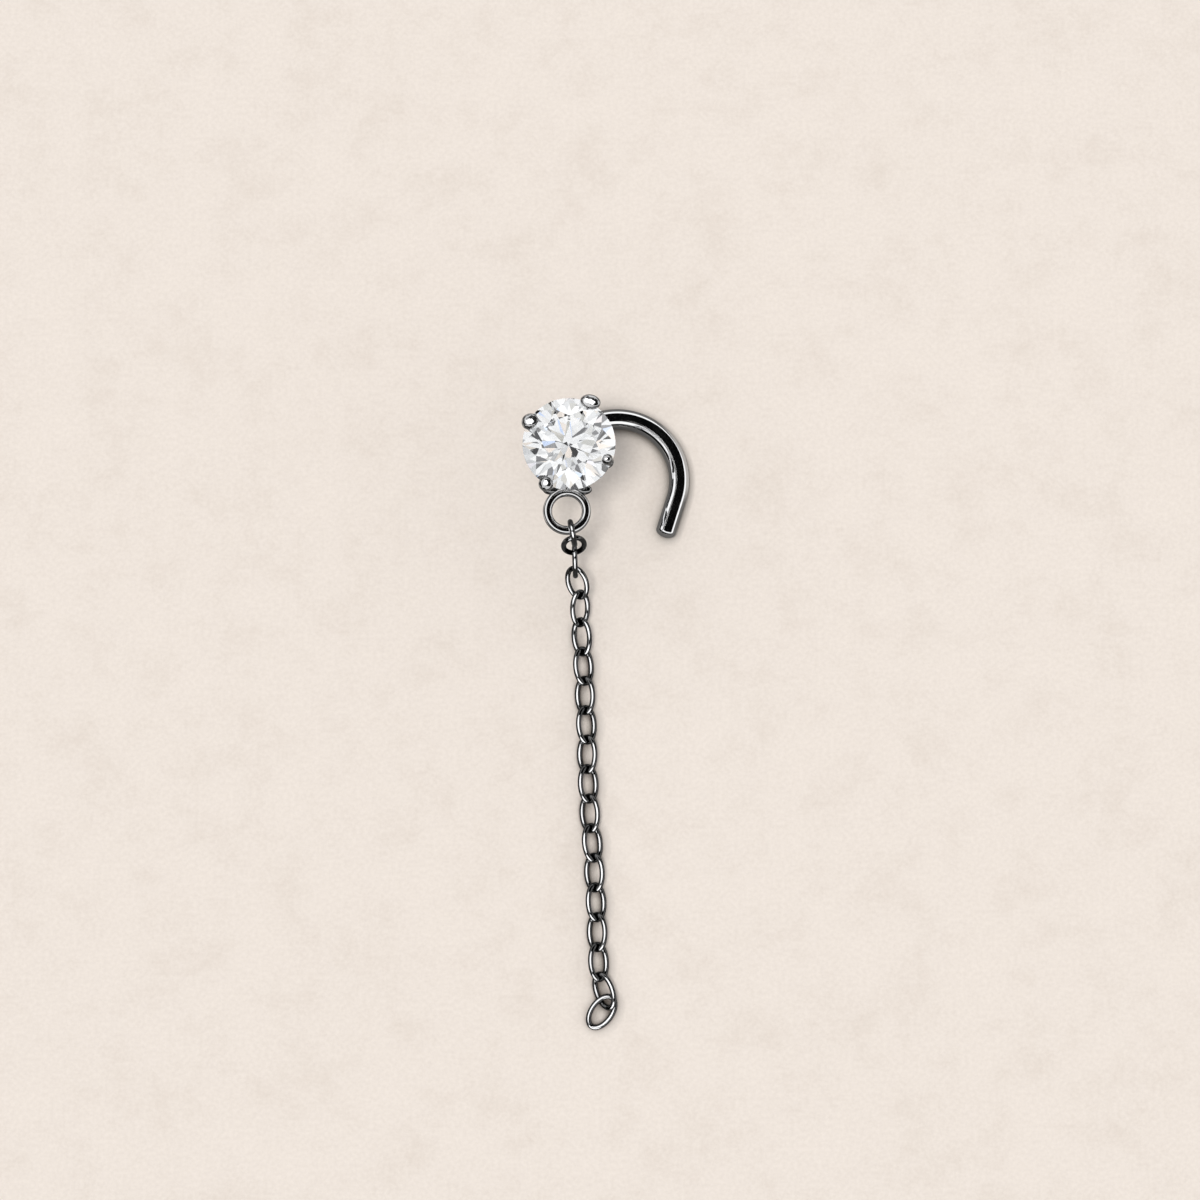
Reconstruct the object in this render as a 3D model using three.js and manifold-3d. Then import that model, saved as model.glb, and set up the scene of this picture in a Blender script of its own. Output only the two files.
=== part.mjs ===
// Chain drop earring: a claw-set round stone on a bent post, a small ring soldered to the back plate
// of its setting, and a bare cable chain of oval links hanging from that ring. The earring stands on
// the flat curl of its post with the stone up; the chain drops to the surface and lies along -Y.
// Millimetres, +Z up. Every height is above that surface.

import * as THREE from 'three';
import { mergeVertices } from 'three/addons/utils/BufferGeometryUtils.js';
import Module from 'manifold-3d';

const wasm = await Module();
wasm.setup();

// ---- Driving dimensions ----

const post = {
  wire: 1.0, // 18 gauge
  sides: 8,
  steps: 84,
  bendRadius: 0.8, // from the upright post into the flat curl
  curlRadius: 3.13, // centre line of the large arc
  curlCentre: { x: 2.35, y: -0.41 }, // from the axis of the stone
  curlEnd: -17.5, // degrees, where the arc runs out into the straight tail
  tail: 2.05,
  tipShare: 0.65, // size of the end face against the wire
  tipReach: 0.6, // share of the wire's thickness that holds the corners of the end face alone
};

const stoneCut = {
  radius: 2.25,
  corners: 8, // corners of the table; the girdle has twice as many
  girdleHeight: 8.5, // middle of the girdle
  girdleThickness: 0.12,
  tableShare: 0.57,
  crownAngle: 34.5,
  pavilionAngle: 40.75,
  lowerFacetShare: 0.77,
};

const setting = {
  back: 6.1, // underside of the back plate, where it seats
  plateThickness: 0.25,
  plateRadius: 1.9,
  plateBevel: 0.06,
  plateSides: 32,
  railRadius: 1.52,
  railWire: 0.28,
  railSides: 6,
  railSteps: 32,
  railHeight: 6.95,
  seatGap: 0.04, // between claw and stone
};

const claw = {
  sides: 8,
  steps: 7,
  footRadius: 1.4,
  shoulderHeight: 8.2,
  tipHeight: 8.78,
  beadHeight: 0.56,
  beadSides: 12,
  beadRings: 8,
};

// The claws were pressed over by hand: each stands and closes a little differently. bead is the
// length and width of the end, turn the direction of its length from +X.
const claws = [
  { angle: 62.8, wire: 0.62, shoulderRadius: 2.32, tipRadius: 2.27, bead: [1.0, 0.72], turn: -13 },
  { angle: 150.8, wire: 0.62, shoulderRadius: 2.28, tipRadius: 2.147, bead: [0.86, 0.8], turn: 30 },
  { angle: 241, wire: 0.62, shoulderRadius: 2.32, tipRadius: 2.287, bead: [0.72, 0.72], turn: 0 },
  { angle: 336.1, wire: 0.56, shoulderRadius: 2.12, tipRadius: 2.0, bead: [0.6, 0.56], turn: 0 },
];

const ring = {
  centre: { x: -0.115, y: -2.925 },
  height: 6.25,
  radius: 0.95, // centre line
  wire: 0.45,
  sides: 8,
  steps: 24,
  hook: 15, // degrees from -Y towards +X, where the first link hangs
};

// Solder fills the corners between the ring and the edge of the back plate.
const solder = {
  places: [{ x: -0.905, y: -1.86 }, { x: 0.71, y: -1.86 }],
  length: 0.8,
  width: 0.5,
  height: 0.44,
  sides: 10,
  rings: 6,
};

const link = {
  wire: 0.28,
  length: 2.018, // outer
  width: 1.3, // outer
  sides: 6,
  steps: 18,
  overlap: 0.035, // how far two links of one stretch run into each other
  gap: 0.03, // between the links of two stretches, and between the first link and the ring
  roll: 41, // lean of a lying link to one side, turn about
};

// Where the chain is divided: the number of the last link of each stretch.
const stretchEnds = [3, 7, 11, 15, 19];

// The links in order from the ring, in degrees. heading is the turn of the link's long axis from -Y
// towards +X, slope its fall below the horizontal, and roll the lift of its +X side. slack is how
// much of the reach of the joint before it is not used, in millimetres.
const hangingLinks = [
  { heading: 12, slope: 77, roll: 90, slack: 0 },
  { heading: 8, slope: 74, roll: 0, slack: 0 },
  { heading: 2, slope: 55, roll: 90, slack: 0 },
  { heading: 10.5, slope: 41, roll: 30, slack: 0.1 },
  { heading: 3.5, slope: 29, roll: -42, slack: 0.02 },
  { heading: 3, slope: 14, roll: 41, slack: 0 },
];
const lyingHeadings = [3.5, 3, 2, 1.5, 2, 4.5, 5, 3.5, 2.5, 2, 3, 20];
const lastLink = { heading: -35.5, slope: 7, roll: -11, slack: 0.31 };

// Corners of a mesh closer than this are one corner.
const CORNER_SPARE = 1e-5;

const colours = {
  steel: { color: 0xb9bbbe, roughness: 0.18, metalness: 1 },
  stone: { color: 0xf4f6fa, roughness: 0.02, metalness: 0 },
};

// ---- Helpers ----

const radians = THREE.MathUtils.degToRad;

function polar(radius, degrees, z) {
  return new THREE.Vector3(radius * Math.cos(radians(degrees)), radius * Math.sin(radians(degrees)), z);
}

// A closed geometry as a solid that can be joined and cut.
function solidOf(geometry) {
  const bare = geometry.clone();
  bare.deleteAttribute('normal');
  bare.deleteAttribute('uv');
  const merged = mergeVertices(bare, CORNER_SPARE);
  const corners = merged.index.array;
  const triangles = [];
  for (let i = 0; i < corners.length; i += 3) {
    const [a, b, c] = corners.slice(i, i + 3);
    if (a !== b && b !== c && c !== a) triangles.push(a, b, c);
  }
  return new wasm.Manifold(new wasm.Mesh({
    numProp: 3,
    vertProperties: new Float32Array(merged.attributes.position.array),
    triVerts: new Uint32Array(triangles),
  }));
}

function geometryOf(solid) {
  const mesh = solid.getMesh();
  const geometry = new THREE.BufferGeometry();
  geometry.setAttribute('position', new THREE.Float32BufferAttribute(mesh.vertProperties, 3));
  geometry.setIndex(Array.from(mesh.triVerts));
  geometry.computeVertexNormals();
  return geometry;
}

function join(geometries) {
  return geometries.map(solidOf).reduce((whole, solid) => whole.add(solid));
}

function namedMesh(name, geometry, finish) {
  const mesh = new THREE.Mesh(geometry, new THREE.MeshStandardMaterial(finish));
  mesh.name = name;
  return mesh;
}

// A regular polygon with the flats at a distance of half the wire from the centre, one flat down.
function wireSection(wire, sides) {
  const corner = wire / 2 / Math.cos(Math.PI / sides);
  const points = [];
  for (let i = 0; i < sides; i += 1) {
    const angle = (2 * Math.PI * (i + 0.5)) / sides;
    points.push(new THREE.Vector2(corner * Math.cos(angle), corner * Math.sin(angle)));
  }
  return new THREE.Shape(points);
}

function wireAlong(path, wire, sides, steps) {
  return new THREE.ExtrudeGeometry(wireSection(wire, sides), { steps, extrudePath: path });
}

// A rounded lump of the given length, width and height about the origin.
function lumpGeometry(length, width, height, sides, rings) {
  return new THREE.SphereGeometry(1 / 2, sides, rings).rotateX(Math.PI / 2).scale(length, width, height);
}

// An arc about a centre, from the unit direction `from` towards the unit direction `towards`.
class Arc extends THREE.Curve {
  constructor(centre, radius, from, towards, angle) {
    super();
    this.centre = centre;
    this.radius = radius;
    this.from = from;
    this.towards = towards;
    this.angle = angle;
  }

  getPoint(t, target = new THREE.Vector3()) {
    const angle = this.angle * t;
    return target.copy(this.centre)
      .addScaledVector(this.from, this.radius * Math.cos(angle))
      .addScaledVector(this.towards, this.radius * Math.sin(angle));
  }
}

// ---- Post and curl ----

// The post runs down from the back plate, bends towards +Y on the surface, and turns clockwise: first
// on a tighter arc that meets the large arc without a kink, then on the large arc, then straight.
function postPath() {
  const z = post.wire / 2;
  const bend = post.bendRadius;
  const up = new THREE.Vector3(0, 0, 1);
  const x = new THREE.Vector3(1, 0, 0);
  const y = new THREE.Vector3(0, 1, 0);
  const curlCentre = new THREE.Vector3(post.curlCentre.x, post.curlCentre.y, z);

  // The tighter arc starts at (0, bend) heading +Y and touches the large arc from inside.
  const lead = bend - curlCentre.y;
  const reach = post.curlRadius ** 2 - curlCentre.x ** 2 - lead ** 2;
  const leadRadius = reach / (2 * (post.curlRadius - curlCentre.x));
  const leadCentre = new THREE.Vector3(leadRadius, bend, z);
  const meeting = Math.atan2(lead, leadRadius - curlCentre.x);
  const meetingDirection = new THREE.Vector3(Math.cos(meeting), Math.sin(meeting), 0);
  const clockwise = new THREE.Vector3(meetingDirection.y, -meetingDirection.x, 0);
  const curlTurn = meeting - radians(post.curlEnd);

  const foot = new THREE.Vector3(0, 0, z + bend);
  const top = new THREE.Vector3(0, 0, setting.back + setting.plateThickness / 2);
  const tailStart = polar(post.curlRadius, post.curlEnd, 0).add(curlCentre);
  const tailEnd = polar(post.tail, post.curlEnd - 90, 0).add(tailStart);

  const path = new THREE.CurvePath();
  path.add(new THREE.LineCurve3(top, foot));
  path.add(new Arc(new THREE.Vector3(0, bend, z + bend), bend, y.clone().negate(), up.negate(), Math.PI / 2));
  path.add(new Arc(leadCentre, leadRadius, x.negate(), y, Math.PI - meeting));
  path.add(new Arc(curlCentre, post.curlRadius, meetingDirection, clockwise, curlTurn));
  path.add(new THREE.LineCurve3(tailStart, tailEnd));
  return path;
}

// The post with its end filed narrower: the last section is drawn in about the end of the path.
function postGeometry() {
  const path = postPath();
  const geometry = wireAlong(path, post.wire, post.sides, post.steps);
  const places = geometry.attributes.position;
  const end = path.getPointAt(1);
  const place = new THREE.Vector3();
  for (let i = 0; i < places.count; i += 1) {
    place.fromBufferAttribute(places, i).sub(end);
    if (place.length() < post.tipReach * post.wire) {
      place.multiplyScalar(post.tipShare).add(end);
      places.setXYZ(i, place.x, place.y, place.z);
    }
  }
  return geometry;
}

// ---- Stone ----

// A round brilliant: table, star, kite and upper girdle facets above the girdle, lower girdle and
// main facets below it. `spare` makes the same shape larger all round, to cut its seat.
function brilliantGeometry(spare) {
  const { corners, girdleHeight } = stoneCut;
  const half = 180 / corners;
  const radius = stoneCut.radius + spare;
  const upper = girdleHeight + stoneCut.girdleThickness / 2 + spare / 2;
  const lower = girdleHeight - stoneCut.girdleThickness / 2 - spare / 2;
  const tableRadius = stoneCut.radius * stoneCut.tableShare + spare;
  const starRadius = (tableRadius * Math.cos(radians(half)) + radius) / 2;
  const lowRadius = radius * (1 - stoneCut.lowerFacetShare);
  const crownSlope = Math.tan(radians(stoneCut.crownAngle));
  const pavilionSlope = Math.tan(radians(stoneCut.pavilionAngle));
  const tableHeight = upper + (radius - tableRadius) * crownSlope;
  const starHeight = upper + (radius - starRadius * Math.cos(radians(half))) * crownSlope;
  const lowHeight = lower - (radius - lowRadius * Math.cos(radians(half))) * pavilionSlope;
  const culet = new THREE.Vector3(0, 0, lower - radius * pavilionSlope);
  const tableCentre = new THREE.Vector3(0, 0, tableHeight);

  const points = [];
  const facet = (...ring3) => points.push(...ring3);
  for (let i = 0; i < corners; i += 1) {
    const here = i * 2 * half;
    const middle = here + half;
    const next = here + 2 * half;
    const tableHere = polar(tableRadius, here, tableHeight);
    const tableNext = polar(tableRadius, next, tableHeight);
    const star = polar(starRadius, middle, starHeight);
    const low = polar(lowRadius, middle, lowHeight);
    const top = [here, middle, next].map((angle) => polar(radius, angle, upper));
    const bottom = [here, middle, next].map((angle) => polar(radius, angle, lower));

    facet(tableCentre, tableHere, tableNext);
    facet(tableHere, star, tableNext);
    facet(tableHere, top[0], star);
    facet(tableNext, star, top[2]);
    facet(star, top[0], top[1]);
    facet(star, top[1], top[2]);
    for (const side of [0, 1]) {
      facet(top[side], bottom[side], top[side + 1]);
      facet(top[side + 1], bottom[side], bottom[side + 1]);
      facet(low, bottom[side + 1], bottom[side]);
    }
    facet(culet, low, bottom[0]);
    facet(culet, bottom[2], low);
  }
  return new THREE.BufferGeometry().setFromPoints(points);
}

// ---- Setting ----

function backPlateGeometry() {
  const { back, plateThickness, plateRadius, plateBevel } = setting;
  const top = back + plateThickness;
  const profile = [
    new THREE.Vector2(0, back),
    new THREE.Vector2(plateRadius - plateBevel, back),
    new THREE.Vector2(plateRadius, back + plateBevel),
    new THREE.Vector2(plateRadius, top - plateBevel),
    new THREE.Vector2(plateRadius - plateBevel, top),
    new THREE.Vector2(0, top),
  ];
  return new THREE.LatheGeometry(profile, setting.plateSides).rotateX(Math.PI / 2);
}

function railGeometry() {
  const { railRadius, railWire, railSides, railSteps, railHeight } = setting;
  return new THREE.TorusGeometry(railRadius, railWire / 2, railSides, railSteps).translate(0, 0, railHeight);
}

// A claw leans out from the back plate, passes outside the girdle and closes over the crown.
function clawGeometries({ angle, wire, shoulderRadius, tipRadius, bead, turn }) {
  const path = new THREE.CatmullRomCurve3([
    polar(claw.footRadius, angle, setting.back + setting.plateThickness / 2),
    polar(shoulderRadius, angle, claw.shoulderHeight),
    polar(tipRadius, angle, claw.tipHeight),
  ]);
  const tip = lumpGeometry(bead[0], bead[1], claw.beadHeight, claw.beadSides, claw.beadRings);
  tip.rotateZ(radians(turn));
  const place = polar(tipRadius, angle, claw.tipHeight);
  return [wireAlong(path, wire, claw.sides, claw.steps), tip.translate(place.x, place.y, place.z)];
}

function ringGeometry() {
  const geometry = new THREE.TorusGeometry(ring.radius, ring.wire / 2, ring.sides, ring.steps);
  return geometry.translate(ring.centre.x, ring.centre.y, ring.height);
}

function solderGeometries() {
  const { places, length, width, height, sides, rings } = solder;
  return places.map(({ x, y }) => (
    lumpGeometry(length, width, height, sides, rings).translate(x, y, ring.height)
  ));
}

function studBodyGeometry() {
  const head = join([backPlateGeometry(), railGeometry(), ...claws.flatMap(clawGeometries)]);
  const seat = solidOf(brilliantGeometry(setting.seatGap));
  const rest = join([postGeometry(), ringGeometry(), ...solderGeometries()]);
  return geometryOf(head.subtract(seat).add(rest));
}

// ---- Chain ----

// The half axes of the ellipse that a link's centre line follows.
const linkHalfLength = (link.length - link.wire) / 2;
const linkHalfWidth = (link.width - link.wire) / 2;

// An oval link about the origin, its long axis along X: a torus whose sections are moved outwards
// along X until its centre line is the ellipse.
function linkGeometry() {
  const geometry = new THREE.TorusGeometry(linkHalfWidth, link.wire / 2, link.sides, link.steps);
  const places = geometry.attributes.position;
  for (let i = 0; i < places.count; i += 1) {
    const x = places.getX(i);
    const share = x / Math.hypot(x, places.getY(i));
    places.setX(i, x + (linkHalfLength - linkHalfWidth) * share);
  }
  return geometry;
}

function linkAxes({ heading, slope, roll }) {
  const level = new THREE.Vector3(Math.sin(radians(heading)), -Math.cos(radians(heading)), 0);
  const right = new THREE.Vector3(-level.y, level.x, 0);
  const long = level.multiplyScalar(Math.cos(radians(slope)));
  long.z = -Math.sin(radians(slope));
  const above = new THREE.Vector3().crossVectors(long, right);
  const wide = right.multiplyScalar(Math.cos(radians(roll))).addScaledVector(above, Math.sin(radians(roll)));
  return { long, wide, normal: new THREE.Vector3().crossVectors(long, wide) };
}

// The height of a link's centre when the link touches the surface.
function restingHeight({ long, wide }) {
  return Math.hypot(linkHalfLength * long.z, linkHalfWidth * wide.z) + link.wire / 2;
}

function linkRows() {
  const lying = lyingHeadings.map((heading, i) => (
    { heading, slope: 0, roll: i % 2 === 0 ? -link.roll : link.roll, slack: 0 }
  ));
  return [...hangingLinks, ...lying, lastLink];
}

// The place of each link, each reached from the one before through the joint between them.
function linkPlaces() {
  const centre = polar(ring.radius, ring.hook - 90, ring.height);
  centre.x += ring.centre.x;
  centre.y += ring.centre.y;
  let reach = linkHalfLength - (ring.wire + link.wire) / 2 - link.gap;
  let last = null;
  return linkRows().map((row, i) => {
    const axes = linkAxes(row);
    if (last) {
      const meets = stretchEnds.includes(i) ? -link.gap : link.overlap;
      reach = (link.length - 2 * link.wire + meets - row.slack) / 2;
      centre.addScaledVector(last.long, reach);
    }
    centre.addScaledVector(axes.long, reach);
    if (i >= hangingLinks.length) centre.z = restingHeight(axes);
    last = axes;
    const place = new THREE.Matrix4().makeBasis(axes.long, axes.wide, axes.normal);
    return place.setPosition(centre);
  });
}

function chainMeshes() {
  const places = linkPlaces();
  let first = 0;
  return stretchEnds.map((end) => {
    const links = places.slice(first, end).map((place) => linkGeometry().applyMatrix4(place));
    const numbers = [first + 1, end].map((number) => String(number).padStart(2, '0'));
    first = end;
    return namedMesh(`chain_links_${numbers.join('_')}`, geometryOf(join(links)), colours.steel);
  });
}

// ---- The earring, with its origin under the middle of its box ----

const earring = new THREE.Group();
earring.add(namedMesh('stud_body', studBodyGeometry(), colours.steel));
earring.add(namedMesh('stone', brilliantGeometry(0), colours.stone));
earring.add(...chainMeshes());

const box = new THREE.Box3().setFromObject(earring);
const middle = box.getCenter(new THREE.Vector3());
earring.position.set(-middle.x, -middle.y, -box.min.z);
earring.updateMatrixWorld(true);

export default earring;
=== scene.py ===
"""The looks of the chain drop earring: a brilliant-cut stone in a soldered claw setting on a bent
post, a small ring under the setting, and nineteen polished cable links that drop to the surface.

Unless a comment says otherwise, lengths are millimetres, measured from the axis of the stone and from
the surface that the earring stands on, and angles are degrees; place() turns points into the frame's
metres.
"""

import math

import bmesh
import bpy
import numpy as np
from mathutils import Matrix, Vector

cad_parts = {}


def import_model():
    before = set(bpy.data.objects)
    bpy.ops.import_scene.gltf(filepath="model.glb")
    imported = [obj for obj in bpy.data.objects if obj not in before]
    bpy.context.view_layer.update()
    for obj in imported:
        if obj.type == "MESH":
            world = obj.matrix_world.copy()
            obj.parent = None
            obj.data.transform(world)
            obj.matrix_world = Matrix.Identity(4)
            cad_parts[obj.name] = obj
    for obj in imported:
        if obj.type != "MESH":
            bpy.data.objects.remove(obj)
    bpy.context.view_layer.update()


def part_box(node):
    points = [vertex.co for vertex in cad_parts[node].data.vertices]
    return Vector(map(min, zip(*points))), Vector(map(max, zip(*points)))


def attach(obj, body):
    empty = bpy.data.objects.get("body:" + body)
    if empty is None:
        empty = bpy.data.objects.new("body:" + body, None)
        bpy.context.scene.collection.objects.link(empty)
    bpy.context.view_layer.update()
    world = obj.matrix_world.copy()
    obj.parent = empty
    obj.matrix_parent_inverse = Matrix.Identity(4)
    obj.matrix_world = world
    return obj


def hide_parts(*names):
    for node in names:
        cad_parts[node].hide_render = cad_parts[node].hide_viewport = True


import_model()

MM = 0.001
STONE_LOW, STONE_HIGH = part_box("stone")
AXIS = (STONE_LOW + STONE_HIGH) / 2

# ---- Sizes ----

GIRDLE_RADIUS = (STONE_HIGH.x - STONE_LOW.x) / 2 / MM
GIRDLE_HEIGHT = 8.5
GIRDLE_THICKNESS = 0.12
TABLE_SHARE = 0.57
CROWN_ANGLE = 34.5
PAVILION_ANGLE = 40.75
LOWER_FACET_SHARE = 0.77
FACETS_ROUND = 8
GIRDLE_SIDES = 128
FACET_ERROR = 0.35  # the small tilt that hand polishing leaves on a facet
FACET_SEED = 4
BLANK_SPARE = 0.1  # how far the blank stands past the table and the culet that are cut from it
CUT_ERROR = 1e-6  # how far off a cutting plane a corner still counts as on it
WELD = 1e-5  # how near two corners have to be to become one

POST_WIRE = 1.0
BEND_RADIUS = 0.8
CURL_RADIUS = 3.13
CURL_CENTRE = (2.35, -0.41)
CURL_END = -17.5  # from +X
TAIL = 2.05  # the straight part after the curl, with its domed end
DOME = 0.3
DOME_SHARE = 0.93  # of a quarter turn, where the dome ends in a small flat
DOME_STEPS = 12
POST_SIDES = 48
STRAIGHT_STEPS, BEND_STEPS, LEAD_STEPS, CURL_STEPS, TAIL_STEPS = 24, 24, 40, 110, 10

PLATE_BACK = 6.1
PLATE_THICKNESS = 0.25
PLATE_RADIUS = 1.9
PLATE_BEVEL = 0.06
PLATE_SIDES = 96
RAIL_RADIUS = 1.52
RAIL_WIRE = 0.28
RAIL_HEIGHT = 6.95
RAIL_STEPS = 96
RAIL_SIDES = 20
SEAT_GAP = 0.015  # between the stone and the claws
SETTING_GRAIN = 0.028  # of the mesh in which the plate, the rail and the claws flow together
SETTING_SMOOTHING = {"factor": 0.5, "iterations": 4}
SOLDER = (0.4, 0.25, 0.22)  # half sizes of a lump
SOLDER_PLACES = [(-0.905, -1.86), (0.71, -1.86)]

CLAW_FOOT = 1.4
CLAW_SHOULDER_HEIGHT = 8.2
CLAW_TIP_HEIGHT = 8.78
CLAW_STRAIGHT = 0.85  # share of the way from foot to shoulder before a claw bends over
CLAW_SIDES = 28
CLAW_STEPS, CLAW_BEND_STEPS = 14, 10
BEAD_HEIGHT = 0.28  # half the height of a claw's end
BEAD_SIDES, BEAD_RINGS = 40, 20

# One row a claw: angle, wire, shoulder radius, tip radius, bead half length, half width and turn.
CLAWS = [
    (62.8, 0.62, 2.32, 2.27, 0.50, 0.36, -13),
    (150.8, 0.62, 2.28, 2.147, 0.43, 0.40, 30),
    (241.0, 0.62, 2.32, 2.287, 0.36, 0.36, 0),
    (336.1, 0.56, 2.12, 2.0, 0.30, 0.28, 0),
]

RING_CENTRE = (-0.115, -2.925)
RING_HEIGHT = 6.25
RING_RADIUS = 0.95
RING_WIRE = 0.45
RING_STEPS = 128
RING_SIDES = 32
HOOK = 15.0  # from -Y towards +X, where the first link hangs

SOLID_WIRE = 0.28  # the CAD solids' wire, which sets the pitch
LINK_WIRE = 0.26
LINK_LENGTH = 2.018  # it and the width are over wire as thick as the solids'
LINK_WIDTH = 1.3
LINK_MEETS = 0.02  # how far two links of the solids' wire would run into each other
LINK_GAP = 0.03  # between the ring and the first link
LYING_ROLL = 41.0
LINK_STEPS = 96
LINK_SIDES = 24
STRETCH_ENDS = [3, 7, 11, 15, 19]  # the last link of each CAD node

# One row a link, from the ring: heading from -Y towards +X, slope, roll, and slack, by which it is
# nearer to the link before it than in a taut chain.
FALLING_LINKS = [
    (12, 77, 90, 0.0),
    (8, 74, 0, 0.0),
    (2, 55, 90, 0.0),
    (10.5, 41, 30, 0.1),
    (3.5, 29, -42, 0.02),
    (3, 14, 41, 0.0),
]
# The headings of the links that lie flat, each rolled to the other side than the one before.
LYING_HEADINGS = [3.5, 3, 2, 1.5, 2, 4.5, 5, 3.5, 2.5, 2, 3, 20]
LAST_LINK = (-35.5, 7, -11, 0.31)


# ---- Geometry helpers ----

def place(points):
    """Points in millimetres about the stone's axis as points of the frame."""
    return np.asarray(points, float) * MM + np.array([AXIS.x, AXIS.y, 0.0])


def polar(radius, degrees, z):
    angle = math.radians(degrees)
    return np.array([radius * math.cos(angle), radius * math.sin(angle), z])


def new_piece(name, verts, faces, smooth=True):
    mesh = bpy.data.meshes.new(name)
    mesh.from_pydata([tuple(v) for v in verts], [], faces)
    mesh.update()
    mesh.polygons.foreach_set("use_smooth", [smooth] * len(mesh.polygons))
    piece = bpy.data.objects.new(name, mesh)
    bpy.context.scene.collection.objects.link(piece)
    return piece


def sweep(path, radii, sides, closed=False):
    """Vertices and faces of a round wire along a path, with flat ends unless it is closed."""
    path = np.asarray(path, float)
    count = len(path)
    if closed:
        ahead = np.roll(path, -1, 0) - np.roll(path, 1, 0)
    else:
        ahead = np.gradient(path, axis=0)
    tangents = ahead / np.linalg.norm(ahead, axis=1)[:, None]
    side = np.cross(tangents[0], [0.0, 0.0, 1.0])
    if np.linalg.norm(side) < 0.1:
        side = np.array([1.0, 0.0, 0.0])
    verts = []
    for i in range(count):
        side = side - tangents[i] * side.dot(tangents[i])
        side = side / np.linalg.norm(side)
        across = np.cross(tangents[i], side)
        for k in range(sides):
            angle = 2 * math.pi * k / sides
            verts.append(path[i] + radii[i] * (side * math.cos(angle) + across * math.sin(angle)))
    faces = []
    for i in range(count if closed else count - 1):
        here, there = i * sides, (i + 1) % count * sides
        for k in range(sides):
            k2 = (k + 1) % sides
            faces.append((here + k, here + k2, there + k2, there + k))
    if not closed:
        faces.append(tuple(range(sides))[::-1])
        faces.append(tuple(range((count - 1) * sides, count * sides)))
    return verts, faces


def round_end(path, radii, radius, length):
    """Adds a domed end of the given length past the last point of a wire, as half an ellipse."""
    ahead = path[-1] - path[-2]
    ahead = ahead / np.linalg.norm(ahead)
    path, radii, last = list(path), list(radii), path[-1]
    for i in range(1, DOME_STEPS + 1):
        angle = math.pi / 2 * i / DOME_STEPS * DOME_SHARE
        path.append(last + ahead * length * math.sin(angle))
        radii.append(radius * math.cos(angle))
    return path, radii


def arc(centre, radius, start, towards, angle, steps):
    """Points of an arc from the unit direction start towards the unit direction towards."""
    turns = np.linspace(0, angle, steps)[:, None]
    return centre + radius * (np.cos(turns) * np.asarray(start) + np.sin(turns) * np.asarray(towards))


def lathe(profile, sides):
    """A closed turned piece about the stone's axis; the profile starts and ends on the axis."""
    verts, faces = [], []
    inner = profile[1:-1]
    for r, z in inner:
        for k in range(sides):
            verts.append(polar(r, 360 * k / sides, z))
    for i in range(len(inner) - 1):
        here, there = i * sides, (i + 1) * sides
        for k in range(sides):
            k2 = (k + 1) % sides
            faces.append((here + k, here + k2, there + k2, there + k))
    faces.append(tuple(range(sides))[::-1])
    faces.append(tuple(range((len(inner) - 1) * sides, len(inner) * sides)))
    return verts, faces


def lump(centre, radii, segments=32, rings=16):
    """A rounded lump of the given half sizes."""
    profile = []
    for i in range(1, rings):
        angle = math.pi * i / rings
        profile.append((math.sin(angle), -math.cos(angle)))
    verts = []
    for r, z in profile:
        for k in range(segments):
            verts.append(polar(r, 360 * k / segments, z))
    verts = [np.asarray(centre) + np.asarray(radii) * v for v in verts]
    faces = []
    for i in range(len(profile) - 1):
        here, there = i * segments, (i + 1) * segments
        for k in range(segments):
            k2 = (k + 1) % segments
            faces.append((here + k, here + k2, there + k2, there + k))
    faces.append(tuple(range(segments))[::-1])
    faces.append(tuple(range((len(profile) - 1) * segments, len(profile) * segments)))
    return verts, faces


def join_parts(parts):
    """Several lists of vertices and faces as one."""
    verts, faces = [], []
    for part_verts, part_faces in parts:
        faces += [tuple(i + len(verts) for i in face) for face in part_faces]
        verts += list(part_verts)
    return verts, faces


def apply_modifier(piece, kind, **settings):
    modifier = piece.modifiers.new(kind.lower(), kind)
    for name, value in settings.items():
        setattr(modifier, name, value)
    graph = bpy.context.evaluated_depsgraph_get()
    result = bpy.data.meshes.new_from_object(piece.evaluated_get(graph))
    piece.modifiers.clear()
    old = piece.data
    piece.data = result
    bpy.data.meshes.remove(old)


# ---- Stone ----

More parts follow.
